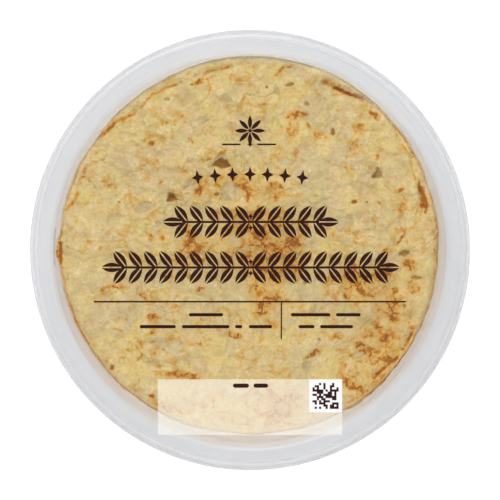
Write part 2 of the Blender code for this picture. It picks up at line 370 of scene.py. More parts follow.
# Folds where the skin turned over, and ridges, with a depth below 0: (half-width, depth, points).
FOLDS = [
    (2, 0.9, [(-83, 18), (-77, 31), (-68, 51), (-52, 62), (-38, 73), (-22, 79), (-8, 83)]),
    (2.2, 1.4, [(34, 75.5), (43.5, 71), (52, 68)]),
    (1.8, 0.6, [(52, 68), (65, 56.5), (73, 41.5), (77, 32)]),
    (2.2, 1.3, [(77.5, 30), (78.5, 24), (79.5, 18)]),
    (1.8, 0.9, [(74, -38), (66.5, -49), (56, -58)]),
    (1.8, 0.6, [(-85, -8), (-79, -31), (-63, -57)]),
    (1.2, -1.1, [(-49.3, -40.3), (-44.8, -39.5), (-36.8, -39.7)]),
    (1.2, -1.2, [(-48.8, -47.3), (-45, -48.6), (-40.8, -50.4)]),
    (0.9, 1, [(-49.4, -49.8), (-44.9, -52.2), (-40.4, -52.8), (-33.6, -54.4)]),
    (1.1, -0.8, [(-38.1, -48.8), (-31.7, -47.6), (-24.9, -45.4)]),
    (1.1, -0.9, [(59.8, 37), (61.4, 33), (62.3, 28.7)]),
    (1.1, -0.8, [(45.3, 40.9), (51, 41.4), (57.5, 39.8)]),
    (1.4, -0.8, [(20.9, 32.2), (33.1, 28.7), (49.7, 32), (58, 28.7)]),
    (1.3, 0.9, [(22.1, 16.6), (27.6, 14.4), (33, 13.6)]),
    (1.2, -0.8, [(46.4, 8.8), (54, 10.8), (61.9, 10)]),
    (1.2, -0.9, [(-19.7, 39.2), (-13.2, 44.4), (-8.4, 45.2)]),
]

# Hollows beside the potato that shows: (x, y, length, width, turn, depth).
HOLLOWS = [
    (-13.5, 39, 9, 5, 0, 1.6), (-34.5, 24, 7.5, 4.5, -33, 1.6), (58, 34.5, 6.5, 5.5, 65, 1.2),
    (70, -1.5, 6.5, 4.5, 15, 1.6), (75.5, -12.5, 6.5, 4, -10, 1), (43, 12, 10, 8, 20, 0.8),
    (-8.5, 26.5, 10, 8, 0, 1), (-22.5, 58.5, 10, 6, 5, 0.9), (-48, 19, 8.5, 5, 0, 0.7),
    (-38, -43, 10, 6, 30, 1), (26, -52.5, 6, 6.5, 0, 1), (52, -25, 9, 5, -10, 0.8),
]

# Potato under the skin: (x, y, length, width, turn, how plainly it shows).
POTATO = [
    (-30, 69, 11, 8, 10, 0.45), (-11, 69, 4, 4, 0, 0.7), (-22.5, 58, 10, 5.5, 5, 0.8),
    (-48.5, 62, 4.5, 3.5, 20, 0.6), (-42, 44, 8, 3.5, -8, 0.6), (-26, 41, 5.5, 2.7, 0, 0.6),
    (-34, 36, 6.5, 3.2, 8, 0.6), (-27.5, 29.5, 6.5, 4.5, 20, 0.75), (-8.5, 26.5, 10, 8, 0, 1),
    (-48, 19, 8, 4.5, 12, 0.85), (-58, 40, 9, 2.7, -68, 0.6), (-52.5, 8, 4, 3, 0, 0.45),
    (58, 35, 6.5, 5, 65, 1), (56, 27.5, 5.5, 3.5, 20, 0.6), (47.5, 38, 3.6, 3.6, 0, 0.6),
    (61.5, 51, 3.2, 2.7, 0, 0.6), (17, 40, 8, 3.6, 5, 0.65), (30, 34, 8, 4.5, 15, 0.6),
    (7, 25.5, 10, 4.5, 0, 0.5), (43, 12, 9, 8, 20, 0.9), (-53.5, -26, 5.5, 4, 0, 0.6),
    (-27, -25.5, 7, 2.7, 10, 0.5), (-59.5, -39, 5.5, 3.6, 15, 0.6), (-40.5, -42, 6.5, 6, 30, 0.85),
    (-34, -44.5, 9, 5.5, 8, 0.85), (-11.5, -54, 5.5, 2.7, 30, 0.75), (-13, -47, 9, 3.6, 8, 0.4),
    (-71, -16.5, 4.5, 2.7, 0, 0.5), (0.5, -40, 4, 3, 0, 0.4), (53, -30, 9, 9.5, 70, 0.75),
    (26, -52.5, 4.5, 5.5, -20, 0.95), (13.5, -48, 3.6, 2.8, 0, 0.7), (19, -32.5, 5.4, 3.6, -15, 0.75),
    (29.5, -27, 4.5, 2.3, 10, 0.55), (42, -17.5, 3.6, 2.7, -40, 0.7), (49.5, -46.5, 4, 3, 0, 0.8),
    (12, 72.5, 4, 2.4, 110, 0.7), (-9, 56, 7, 6, 0, 0.4), (25, -8, 5, 4, 0, 0.5),
    (-64, 2, 7, 4, 40, 0.35), (66, 12, 7, 4, 30, 0.4), (36, -68, 7, 5, 10, 0.4),
    (-22, 6, 6, 4, 30, 0.4),
]

# Browned marks: (x, y, length, width, turn, how dark).
BROWNED = [
    (58, -16, 42, 30, -15, 0.36), (64, -36, 30, 34, 10, 0.34), (6, 14, 34, 9, -3, 0.4),
    (-5, 29, 42, 10, -8, 0.34), (-27, 1, 14, 22, 0, 0.38), (6, -22, 16, 18, 10, 0.4),
    (0, 2, 46, 40, 0, 0.36), (9, -2, 32, 20, -5, 0.42), (5, 5.5, 11, 8.5, 90, 0.72),
    (19.5, 2.5, 9, 5.5, 10, 0.8), (2, -9, 11, 5, 0, 0.55), (12, -11, 8, 7, 0, 0.5),
    (-1, 13, 8, 5, 0, 0.5), (22, -10, 11.5, 2.6, 84, 1), (7.5, -25, 13, 6, 44, 1.05),
    (2, -17, 3.2, 2.4, 0, 0.8), (0, -20, 2.6, 3.2, 0, 0.7), (-2.5, 28.5, 6.5, 2.8, -15, 1.05),
    (-15, 29.5, 3, 3, 0, 0.6), (-0.5, 25.5, 8, 1.6, 88, 0.75), (11.5, 29.5, 6.2, 2.6, -6, 1),
    (12.7, 23.5, 3, 1.6, 80, 0.6), (25, 12.5, 6.5, 2.8, -35, 0.8), (23, 9.5, 3.6, 2.4, 80, 0.85),
    (15.5, 9.5, 4.2, 4, 0, 0.7), (-8, 15.5, 4, 4, 0, 0.75), (-15, 16, 3.6, 3.6, 0, 0.85),
    (-23.5, 26, 4.6, 3.8, -20, 1.05), (-28.5, 36, 2.2, 2.2, 0, 0.65), (-40.5, 31.5, 4, 2.6, -25, 0.75),
    (-12.5, 44.5, 4.6, 2, 48, 0.55), (-20, 40.5, 5.5, 1.4, 15, 0.65), (-44, 48.5, 3.8, 2, 5, 1.1),
    (-26.8, 50, 3.2, 2, -65, 1), (-39, 58.5, 3, 2, 0, 0.55), (-33.5, 62, 8, 2.6, -5, 0.6),
    (-46.5, 33.5, 4, 3, 70, 0.6), (-62, 29, 4, 3, 0, 0.4), (-45, 5, 3.2, 3, 0, 0.65),
    (-40, 5, 2, 3, 0, 0.55), (-27, 5, 10, 5, 85, 0.65), (-26.5, -2.3, 3.8, 2.6, 85, 1),
    (-8.7, -4.8, 4.2, 2.6, 80, 0.85), (-11.5, -10, 3, 3, 0, 0.55), (-22.5, -18, 4.6, 2.4, 10, 0.85),
    (-17, -22.7, 3, 1.6, -25, 1.05), (-49, -20.5, 4, 2.7, -45, 0.8), (-61.5, -16.5, 9.5, 2.2, 0, 0.65),
    (-67.5, -19, 6.4, 2.4, 80, 0.65), (-68, 1, 3.2, 2, 45, 0.55), (-56, -30.5, 3.8, 1.8, 90, 0.7),
    (-60, -32.5, 3, 3, 0, 0.45), (-59.5, -36, 6.4, 1.9, -20, 0.75), (-44.5, -30.5, 5.6, 3.8, 20, 0.75),
    (-46, -38, 4.2, 1.9, 20, 0.8), (-24, -43, 2.8, 1.4, -45, 0.9), (-7, -39, 6.4, 3.6, -10, 0.95),
    (-13, -36.5, 3, 2, 0, 0.6), (-67, -51, 3.2, 2.6, 0, 0.65), (-63.5, -53, 2.2, 2.2, 0, 1.1),
    (-58.5, -49, 3, 1.6, 30, 0.55), (-56, -44.5, 2.2, 2.2, 0, 0.7), (-45, -66.5, 3.8, 2.8, 0, 0.9),
    (-51.5, -63.5, 5, 2, 30, 0.5), (-7, 77.5, 5.5, 3.2, 0, 0.4), (-69.5, 48, 3.2, 2, 0, 0.4),
    (-62, 57, 7, 2.4, 40, 0.7), (25.5, 81.5, 4, 2, -15, 0.6), (-23.5, 76, 3.4, 3, 0, 0.95),
    (20.5, 61.5, 10, 3, 12, 0.85), (20, 54.5, 6.5, 6, 0, 0.6), (26.5, 56.5, 4.2, 2.2, 100, 0.9),
    (21, 44.5, 5, 2.6, 80, 0.65), (31.5, 51.5, 9.5, 4.5, -20, 0.62), (40.5, 64, 3.2, 2.2, 0, 0.6),
    (49, 56, 4.8, 4.6, 40, 0.6), (58, 42.5, 3.2, 2, 45, 0.65), (57, 61.5, 5.4, 3.2, -48, 1),
    (47.5, 22.5, 2.6, 2.2, 0, 1), (67, 27.5, 5.6, 2.4, 25, 0.75), (67, 21, 9, 9, 0, 0.42),
    (68, 5, 6.5, 1.6, 60, 0.75), (61.5, 0, 3.4, 2.6, 40, 0.65), (61.7, -9, 6, 5, 20, 0.8),
    (45, -14.5, 7, 6, 0, 0.75), (72, -6, 6, 5, 30, 0.7), (46.5, -9, 6.6, 6.2, 0, 0.8),
    (36, -13.5, 3.2, 3.2, 0, 0.8), (51, -19, 11, 2.2, -28, 1.05), (44, -20.5, 4.4, 2, -57, 0.9),
    (73, -8, 7, 2, 40, 0.75), (74.5, -17, 6.2, 5.4, 0, 0.8), (66, -18.5, 3.2, 3, 0, 0.85),
    (65, -30, 5.6, 2.6, 68, 0.95), (58, -35, 3.4, 3.4, 0, 1.1), (61, -40, 5, 2.2, 40, 0.75),
    (50, -44, 7, 3.6, -50, 1), (55, -47, 5, 3, -20, 0.9), (27.5, -47.5, 10.5, 2.2, 27, 1),
    (39, -46, 8, 1.6, 5, 0.5), (39.5, -39, 4, 3, 20, 0.65), (41.5, -55, 7.2, 3, 70, 0.85),
    (46, -61, 8, 4.6, -15, 0.9), (64, -57, 18, 12, 48, 0.5), (56, -56, 32, 28, 48, 0.38),
    (54, -13, 17, 10, -10, 0.55), (65, -26, 7, 10, 0, 0.55), (-4, -71, 66, 18, 0, 0.34),
    (16, -70, 14, 9, 20, 0.5), (-36, -72, 18, 5, -22, 0.5), (-30, -57, 16, 4, -2, 0.7),
    (16.5, -22.5, 4, 2, 0, 0.55), (72, 52, 10, 3, -60, 0.35), (-74, -38, 12, 3, -60, 0.35),
]

# Pits and specks, darker than any browning, as brown specks and as painted shade in the pits:
# (x, y, length, width, turn, depth).
PITS = [
    (-38, 68.5, 3.4, 1.6, 0, 0.65), (-26.3, 75.3, 1.6, 1.2, -20, 0.9), (-15, 25.2, 2.2, 1.6, 30, 1.6),
    (-59.5, 22, 1.3, 1.2, 0, 0.9), (53.2, 22, 1.3, 1.2, 0, 1), (59, 21.3, 1.2, 1.2, 0, 0.8),
    (7.6, 74, 1.4, 1.4, 0, 0.9), (0, 70.5, 1.6, 1.2, 0, 0.6), (45.2, 46.3, 1.6, 1.3, 0, 0.8),
    (31.7, -40.6, 1.5, 1.3, 0, 0.8), (-39.5, -45.4, 1.4, 1.3, 0, 0.8), (18, 75.2, 4.6, 2.3, 15, 0.8),
    (25.8, 66.4, 2.8, 2.5, 0, 0.75), (37.6, 53.7, 3.3, 2, 88, 1.05), (6.3, 66.2, 2, 1.8, 0, 0.65),
    (70, -1.4, 5.2, 3.2, 15, 0.85), (76, -12.6, 5.8, 1.8, -8, 0.75), (25.4, -14.5, 3.2, 2.4, 60, 0.75),
    (-37.6, -12.7, 2.6, 2.6, 0, 0.75), (-27, -12.3, 2.8, 2.4, 0, 0.75), (70, -25.4, 2.4, 2, 0, 0.75),
    (-66.5, 41, 3, 1.2, 10, 0.55),
]

# Holes torn beside a slice of potato: (depth, three corners). Each is deepest between its
# first two corners, and slopes up to the third.
TEARS = [
    (1.5, [(-37.8, 21.8), (-36.8, 26.6), (-32.4, 22.6)]),
    (1, [(-36.9, 26.2), (-34.4, 23), (-28.4, 20.8)]),
    (1.4, [(-12.6, 42.4), (-8.4, 38), (-20, 37.2)]),
    (0.7, [(-31.4, 26.6), (-24, 30), (-27, 33.6)]),
    (0.9, [(57.7, 38.6), (55.2, 32.8), (61.8, 32)]),
]

# Brown lines along folds and cracks: (width, how dark, points).
LINES = [
    (1.7, 1, [(-83.2, 18.6), (-80.4, 22), (-78, 26)]),
    (1.6, 0.7, [(-77.5, 31.5), (-74.5, 37.5)]),
    (2, 1, [(-69.5, 50.5), (-63.5, 56.5), (-52.5, 61.7)]),
    (1.3, 0.85, [(-52.5, 61.5), (-44.5, 70.5), (-38.5, 73.2), (-31, 76.2)]),
    (1.4, 0.75, [(-39.5, 76.8), (-34.5, 79.2)]),
    (1.5, 0.7, [(-28.8, 79.8), (-26, 82)]),
    (1.6, 0.9, [(-22, 78.5), (-19, 81), (-13.8, 82), (-8.2, 83.2)]),
    (1.1, 0.5, [(-19.5, 78), (-17.2, 74), (-19.5, 68.7), (-23, 65.8)]),
    (1.6, 0.9, [(11.5, 79.8), (15, 83), (19, 83.8)]),
    (1.2, 0.65, [(30.5, 82), (34.7, 79.8), (40, 77.5)]),
    (3.6, 1.2, [(34.8, 76), (40, 74.2), (45, 71.9)]),
    (2.2, 2, [(39, 73.8), (42.6, 72), (46.7, 70.5), (51.4, 69)]),
    (0.8, 0.9, [(51.6, 69.4), (56.5, 65.9), (61.7, 61), (65.2, 55.8), (68.7, 48.5), (73.9, 42.2)]),
    (0.9, 0.8, [(73.2, 42.2), (73.5, 35.8), (75.3, 32.2)]),
    (0.8, 0.9, [(30.4, 81), (35, 78.6), (40.4, 77)]),
    (1.2, 0.55, [(78, 35.4), (81, 27.2), (84, 16.8), (84, -8.6), (82.8, -18.6), (79.3, -30.2)]),
    (3.4, 1.9, [(77.8, 27.6), (78.6, 23.6), (79.5, 19.8)]),
    (1.4, 1.5, [(77.2, 30.4), (77.9, 26)]),
    (1.4, 1.5, [(79, 21), (80, 17.4)]),
    (1.8, 2, [(-86.2, 3.4), (-85.9, -5.6)]),
    (1.3, 0.65, [(-85, -7), (-83.9, -15.7), (-82.1, -24.4), (-79.2, -31.3), (-75.2, -41.2)]),
    (1.3, 0.6, [(-75.2, -41.2), (-69.4, -48.5), (-63, -56.7)]),
    (1.5, 1.05, [(73.5, -38.1), (70, -45.2)]),
    (1.5, 1.05, [(66.6, -49.2), (60.8, -53.9), (56.1, -58)]),
    (2.2, 0.85, [(-43.3, -55.6), (-36.4, -56.2), (-26, -56.7)]),
    (1.2, 0.7, [(-49.1, -51), (-43, -50.2), (-36.4, -51.6)]),
    (1.3, 0.85, [(-51.4, -43.5), (-49.1, -47.5), (-51.4, -50)]),
    (1.3, 0.6, [(-47, -38.5), (-49, -42)]),
    (1.2, 0.5, [(78, 10), (72, 5), (68, -3), (71, -9)]),
    (1.2, 0.55, [(62, -57), (57, -62), (50, -66), (44, -70)]),
    (1.1, 0.6, [(70, -48), (66, -55), (60, -62)]),
    (1, 0.5, [(50, -50), (56, -52), (60, -48), (66, -50)]),
]


def round_the_rim(angle, stretches):
    """What a list of (angle, half-width, amount) adds up to at this angle, in radians."""
    total = 0.0
    for middle, half_width, amount in stretches:
        away = (degrees(angle) - middle + 180) % 360 - 180
        total += amount * exp(-((away / half_width) ** 2) * RIM_FADE)
    return total


def outline_radius(angle):
    """How far the omelette reaches at this angle: nearly round, and never quite."""
    place = Vector((cos(angle), sin(angle), 0.3)) * EGG_RADIUS
    wander = OUTLINE_WANDER * noise.noise(place / OUTLINE_SIZE)
    wander += OUTLINE_RAGGED * (noise.noise(place / OUTLINE_RAGGED_SIZE) - OUTLINE_INWARDS)
    return EGG_RADIUS + wander + round_the_rim(angle, BULGES) / 1000


def noise_at(x, y, level, size):
    """Noise from -1 to 1 with lumps of about this size. Each level has its own pattern."""
    return np.array([noise.noise(Vector((a, b, level)) / size) for a, b in zip(x, y)])


def rough_noise_at(x, y, level, size):
    """The same noise with three finer layers on it."""
    return np.array([noise.fractal(Vector((a, b, level)) / size, 0.9, 2.1, 3) for a, b in zip(x, y)])


def slices_at(x, y, spacing):
    """The slices under the skin: how far each place is from a seam, and its slice's shade."""
    gaps, shades = [], []
    for a, b in zip(x, y):
        away, centres, *_ = noise.voronoi(Vector((a, b, 0.0)) / spacing)
        gaps.append(away[1] - away[0])
        near, next_near = (noise.noise(centre * SLICE_SHADE_SCALE) for centre in centres[:2])
        blend = 0.5 * exp(-gaps[-1] / SLICE_BLEND)
        shades.append(near + blend * (next_near - near))
    return np.array(gaps), np.array(shades)


def reach_over(mark, x, y):
    """0 in the middle of an oval mark, 1 on its outline and more outside it."""
    centre_x, centre_y, length, width, turn = mark[:5]
    run_x, run_y = cos(radians(turn)), sin(radians(turn))
    away_x, away_y = x * 1000 - centre_x, y * 1000 - centre_y
    along = (away_x * run_x + away_y * run_y) / (length / 2)
    across = (away_y * run_x - away_x * run_y) / (width / 2)
    return np.hypot(along, across)


def smooth_step(share):
    share = np.clip(share, 0.0, 1.0)
    return share * share * (3 - 2 * share)


def spread(marks, x, y, soft):
    """The marks laid over each other: each as strong as it says, fading out round its outline."""
    clear = np.ones_like(x)
    for mark in marks:
        inside = smooth_step((1 + soft - reach_over(mark, x, y)) / (2 * soft))
        clear *= 1 - np.clip(mark[5] * inside, 0.0, 1.0)
    return 1 - clear


def off_line(x, y, points):
    """How far each place is from the nearest straight run between the points, in mm, and 1
    or -1 for the side of it."""
    x, y = x * 1000, y * 1000
    nearest, side = np.full_like(x, np.inf), np.ones_like(x)
    for (start_x, start_y), (end_x, end_y) in zip(points, points[1:]):
        run_x, run_y = end_x - start_x, end_y - start_y
        off_x, off_y = x - start_x, y - start_y
        share = np.clip((off_x * run_x + off_y * run_y) / (run_x**2 + run_y**2), 0.0, 1.0)
        away = np.hypot(off_x - share * run_x, off_y - share * run_y)
        own_side = np.where(run_x * off_y - run_y * off_x < 0.0, -1.0, 1.0)
        side = np.where(away < nearest, own_side, side)
        nearest = np.minimum(nearest, away)
    return nearest, side


def draw_lines(lines, x, y):
    """How dark the strongest line near each place is, and how far across that line the place
    is: 0 on its middle, and 1 or -1 on its edges."""
    field, across = np.zeros_like(x), np.full_like(x, LINE_FAR)
    for width, dark, points in lines:
        away, side = off_line(x, y, points)
        away = away / (width / 2)
        strength = dark * np.exp(-((away / LINE_REACH) ** 2))
        nearer = strength > field
        field = np.where(nearer, strength, field)
        across = np.where(nearer, np.clip(away, 0.0, LINE_FAR) * side, across)
    return field, across


def beyond(x, y, start, end):
    """How far a place lies to the left of the straight line from start to end."""
    run_x, run_y = end[0] - start[0], end[1] - start[1]
    return (run_x * (y - start[1]) - run_y * (x - start[0])) / hypot(run_x, run_y)


def tears(x, y):
    """How deep the skin is torn at each place, in metres: deepest inside the three corners."""
    x, y = x * 1000, y * 1000
    deepest = np.zeros_like(x)
    for deep, (first, second, third) in TEARS:
        reach = beyond(*third, first, second)
        sides = ((first, second), (second, third), (third, first))
        off_sides = [beyond(x, y, *side) * np.sign(reach) for side in sides]
        slope = 1 - TEAR_SLOPE * np.clip(off_sides[0] / abs(reach), 0.0, 1.0)
        inside = np.minimum.reduce(off_sides)
        share = smooth_step((inside + TEAR_EDGE) / (2 * TEAR_EDGE)) * slope
        deepest = np.maximum(deepest, deep / 1000 * share)
    return deepest


def relief(x, y):
    """Height of the cooked top over a flat one: swells, lumps of potato, hollows and folds."""
    height = SWELL_HEIGHT * noise_at(x, y, 0.7, SWELL_SIZE)
    height += LUMP_HEIGHT * noise_at(x, y, 0.1, LUMP_SIZE)
    for hollow in HOLLOWS:
        height -= hollow[5] / 1000 * np.exp(-(reach_over(hollow, x, y) ** 2))
    folded = np.zeros_like(x)
    for half_width, deep, points in FOLDS:
        away = off_line(x, y, points)[0] / half_width
        sunk = deep / 1000 * np.exp(-(away**2))
        folded = np.where(np.abs(sunk) > np.abs(folded), sunk, folded)
    return height - folded


def on_disc(u, v):
    """Points of the square from -1 to 1 as (share of the radius, angle) on a round disc."""
    wide = np.abs(u) >= np.abs(v)
    longer, shorter = np.where(wide, u, v), np.where(wide, v, u)
    lean = pi / 4 * shorter / np.where(longer == 0.0, 1.0, longer)
    turn = np.where(wide, lean, pi / 2 - lean) + np.where(longer < 0.0, pi, 0.0)
    return np.abs(longer), turn


def room_at(height):
    """How far from the tray's middle the wall lets the omelette reach at this height."""
    wall_lean = (TRAY_WALL_TOP - TRAY_WALL_FOOT) / flange_height
    return TRAY_WALL_FOOT + wall_lean * height - EGG_CLEAR_OF_WALL


def side_place(ring, angle, bottom, top):
    """A point of one ring on the shoulder, the side or the round under the omelette."""
    outwards = Vector((cos(angle), sin(angle), 0.0))
    edge = Vector((EGG_X, EGG_Y, 0.0)) + outwards * outline_radius(angle)
    gap = max(0.0, room_at(top) - edge.length)
    drop = SHOULDER_DROP + gap * DROP_BY_GAP
    if ring <= SHOULDER_RINGS:
        turn = pi / 2 * ring / SHOULDER_RINGS
        inset = SHOULDER_WIDTH * (1 - sin(turn))
        height = top - drop * (1 - cos(turn))
    elif ring <= SHOULDER_RINGS + SIDE_RINGS:
        share = (ring - SHOULDER_RINGS) / SIDE_RINGS
        inset = SIDE_TAPER * share
        height = top - drop + share * (bottom + UNDER_RISE - top + drop)
    else:
        turn = pi / 2 * (ring - SHOULDER_RINGS - SIDE_RINGS) / UNDER_RINGS
        inset = SIDE_TAPER + UNDER_WIDTH * (1 - cos(turn))
        height = bottom + UNDER_RISE * (1 - sin(turn))
    place = edge - outwards * inset
    place.z = height
    share_of_height = (height - bottom) / (top - bottom)
    bulge = SIDE_BULGE * noise.noise(place / SIDE_BULGE_SIZE) * sin(pi * share_of_height)
    place += outwards * bulge
    reach = hypot(place.x, place.y)
    if reach > room_at(height):
        place.x, place.y = place.x * room_at(height) / reach, place.y * room_at(height) / reach
    return place


egg_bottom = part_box("omelette")[0].z
egg_top = egg_bottom + EGG_THICKNESS
bpy.ops.mesh.primitive_grid_add(x_subdivisions=EGG_CELLS, y_subdivisions=EGG_CELLS, size=2.0)
omelette = bpy.context.object
omelette.name = "potato_omelette"
omelette.data.uv_layers.remove(omelette.data.uv_layers[0])
places = np.empty(3 * len(omelette.data.vertices))
omelette.data.vertices.foreach_get("co", places)
shares, angles = on_disc(places[0::3], places[1::3])
radii = shares * (np.array([outline_radius(angle) for angle in angles]) - SHOULDER_WIDTH)
places[0::3] = EGG_X + radii * np.cos(angles)
places[1::3] = EGG_Y + radii * np.sin(angles)
places[2::3] = egg_top
omelette.data.vertices.foreach_set("co", places)

# The side is extruded from the rim one ring at a time, and each new ring is put in its place.
bpy.ops.object.mode_set(mode="EDIT")
bpy.ops.mesh.select_all(action="DESELECT")
bpy.ops.mesh.select_non_manifold(extend=False)
for ring in range(1, SHOULDER_RINGS + SIDE_RINGS + UNDER_RINGS + 1):
    bpy.ops.mesh.extrude_edges_move()
    bpy.ops.object.mode_set(mode="OBJECT")
    for vertex in omelette.data.vertices:
        if vertex.select:
            angle = atan2(vertex.co.y - EGG_Y, vertex.co.x - EGG_X)
            vertex.co = side_place(ring, angle, egg_bottom, egg_top)
    bpy.ops.object.mode_set(mode="EDIT")
bpy.ops.mesh.edge_face_add()
bpy.ops.mesh.select_all(action="SELECT")
bpy.ops.mesh.normals_make_consistent(inside=False)
bpy.ops.object.mode_set(mode="OBJECT")

# The smooth cake is then made uneven, and each point keeps how browned, cracked or thin over
# potato the skin is there. The marks wander a little, so that none is a true oval.
places = np.empty(3 * len(omelette.data.vertices))
omelette.data.vertices.foreach_get("co", places)
x, y, z = places[0::3].copy(), places[1::3].copy(), places[2::3].copy()
ragged_x = x + MARK_RAGGED * noise_at(x, y, 0.31, MARK_RAGGED_SIZE)
ragged_y = y + MARK_RAGGED * noise_at(x, y, 0.53, MARK_RAGGED_SIZE)
pitted = spread(PITS, ragged_x, ragged_y, PIT_SOFT)
wander_x = MARK_WANDER * noise_at(x, y, 0.61, MARK_WANDER_SIZE)
wander_y = MARK_WANDER * noise_at(x, y, 0.73, MARK_WANDER_SIZE)
marked_x, marked_y = ragged_x + wander_x, ragged_y + wander_y
torn = tears(ragged_x + LINE_WANDER * wander_x, ragged_y + LINE_WANDER * wander_y)
potato_shows = spread(POTATO, marked_x, marked_y, POTATO_SOFT)
browned = spread(BROWNED, marked_x, marked_y, BROWN_SOFT)
warmed = spread(BROWNED, marked_x, marked_y, WARM_SOFT)
cracked, across_crack = draw_lines(LINES, x + LINE_WANDER * wander_x, y + LINE_WANDER * wander_y)
for index, (a, b) in enumerate(zip(x - EGG_X, y - EGG_Y)):
    angle = atan2(b, a)
    across = (outline_radius(angle) - hypot(a, b) - EDGE_LINE_INSET) / EDGE_LINE_WIDTH
    strength = round_the_rim(angle, EDGE_BROWNING) * exp(-((across / LINE_REACH) ** 2))
    if strength > cracked[index]:
        cracked[index] = strength
        across_crack[index] = across
sunk_line = cracked * np.exp(-(across_crack**2))
seam_gap, slice_shade = slices_at(marked_x, marked_y, SLICE_SPACING)
seams = np.exp(-((seam_gap / SEAM_WIDTH) ** 2))
seams *= smooth_step(0.5 + 1.6 * noise_at(x, y, 0.9, SEAM_PATCH))
fine_relief = GRAIN_HEIGHT * rough_noise_at(x, y, 0.4, GRAIN_SIZE) * (1 - 0.7 * potato_shows)
fine_relief += CRUMB_HEIGHT * noise_at(x, y, 0.2, CRUMB_SIZE) * (0.35 + 0.65 * browned)
fine_relief += SLICE_RISE * (slice_shade + smooth_step(seam_gap)) - SEAM_DEPTH * seams - torn
fine_relief -= PIT_DEPTH * pitted + LINE_DEPTH * sunk_line + POTATO_SINK * potato_shows
# The tears are darkened in colour too, as painted shade in the holes.
pitted = np.maximum(pitted, 0.6 * torn / PIT_DEPTH)
settled = np.clip(2 * (z - egg_bottom) / EGG_THICKNESS - 1, 0.0, 1.0)
places[2::3] = z + settled * (relief(x, y) + fine_relief)
omelette.data.vertices.foreach_set("co", places)
marks = {
    "potato": potato_shows,
    "browned": browned,
    "warmed": warmed,
    "slices": slice_shade,
    "pitted": pitted,
    "cracked": cracked,
    "across_crack": across_crack,
    "seams": seams,
    "side": smooth_step((egg_top - z) / SIDE_PALE_BELOW),
}
for name, field in marks.items():
    attribute = omelette.data.attributes.new(name, "FLOAT", "POINT")
    attribute.data.foreach_set("value", field.astype(np.float32))
omelette.data.update()
bpy.ops.object.shade_smooth()

# The skin's colours. FRIED is what frying stains it with, from untouched at 0 to brown at 1.
YOLK_DULL, YOLK_DEEP, YOLK_CREAM = (0.686, 0.528, 0.273), (0.797, 0.598, 0.223), (0.780, 0.615, 0.294)
YOLK_FRESH, YOLK_WARM = (0.761, 0.643, 0.243), (0.819, 0.596, 0.298)
SKIN_PAINTED_HIGHLIGHT, SKIN_PAINTED_SHADE = (0.900, 0.770, 0.475), (0.625, 0.428, 0.134)
POTATO_DARK, POTATO_PALE, POTATO_EDGE_SHADE = (0.540, 0.405, 0.175), (0.710, 0.585, 0.336), (0.560, 0.380, 0.110)
SIDE_TAN, RIM_PAINTED_LIGHT, PIT_BROWN_AND_SHADE = (0.860, 0.640, 0.345), (1.000, 0.880, 0.530), (0.330, 0.150, 0.012)
FRIED = (
    (0.0, (1.0, 1.0, 1.0)),
    (0.22, (0.955, 0.800, 0.530)),
    (0.50, (0.885, 0.580, 0.240)),
    (0.76, (0.800, 0.430, 0.090)),
    (1.0, (0.500, 0.205, 0.048)),
)
BUBBLE_SIZE, BUBBLE_TOSS, SKIN_BUMP = 0.0056, 0.005, 0.00095
RIM_LIGHT_FROM, RIM_LIGHT_TO, HEAD_FROM, HEAD_TO = 0.0830, 0.0863, 0.045, 0.080
egg, egg_shader, place = finish("cooked_egg")


def painted(name):
    """The omelette's own attribute of this name, as a wire."""
    return place.node("ShaderNodeAttribute", {"attribute_name": name}, output="Fac")


def stained(heat, under):
    """The colour under, stained by frying as far as heat says."""
    stain = heat.node("ShaderNodeValToRGB", {"stops": FRIED}, {"Fac": heat})
    settings = {"data_type": "RGBA", "blend_type": "MULTIPLY"}
    return heat.node("ShaderNodeMix", settings, {0: 1.0, 6: under, 7: stain}, output=2)


# The skin: pale yellow, creamier in broad patches and a deeper yellow in others, with a shade of
# its own over each slice of potato, and random spots of painted highlight and painted shade.
broad = place.noise(size=0.022)
mottle = place.noise(size=0.0055, detail=4.0, roughness=0.55)
fine = place.noise(size=0.0016, detail=4.0, roughness=0.6)
dust = place.noise(size=0.0009, roughness=0.6)
hue = place.vector("ADD", (0.2, 0.7, 0.0)).noise(size=0.0065, detail=4.0, roughness=0.6)
slice_shade = painted("slices") * 0.9 + (mottle - 0.5) * 1.2 + 0.5
yolk = slice_shade.step(0.15, 0.85).mix(YOLK_DULL, YOLK_DEEP)
yolk = (broad.step(0.45, 0.65) * 0.6).mix(yolk, YOLK_CREAM)
yolk = (hue.step(0.50, 0.66) * 0.6).mix(yolk, YOLK_FRESH)
yolk = ((1 - hue).step(0.50, 0.66) * 0.6).mix(yolk, YOLK_WARM)
# Painted highlights and painted shade: random spots of the skin made paler or darker as if lit or shaded.
painted_light_spots = mottle * 0.75 + fine * 0.8 + dust * 0.5 - 0.525
yolk = (painted_light_spots.step(0.50, 0.78) * 0.75).mix(yolk, SKIN_PAINTED_HIGHLIGHT)
yolk = ((1 - painted_light_spots).step(0.52, 0.78) * 0.75).mix(yolk, SKIN_PAINTED_SHADE)

# Potato under thin egg: greyer, a little green in places, with a soft edge, and painted shade in a
# thin ring round it.
under_skin = place.vector("ADD", (0.4, 0.1, 0.0)).noise(size=0.009)
potato_colour = under_skin.step(0.4, 0.6).mix(POTATO_DARK, POTATO_PALE)
potato_thin = (painted("potato") + (mottle - 0.5) * 0.8 + (fine - 0.5) * 0.3).step(0.15, 0.85)
surface = (potato_thin * 0.9).mix(yolk, potato_colour)
potato_edge_shade = potato_thin.step(0.10, 0.45) * (1 - potato_thin.step(0.45, 0.85))
surface = (potato_edge_shade * 0.35).mix(surface, POTATO_EDGE_SHADE)

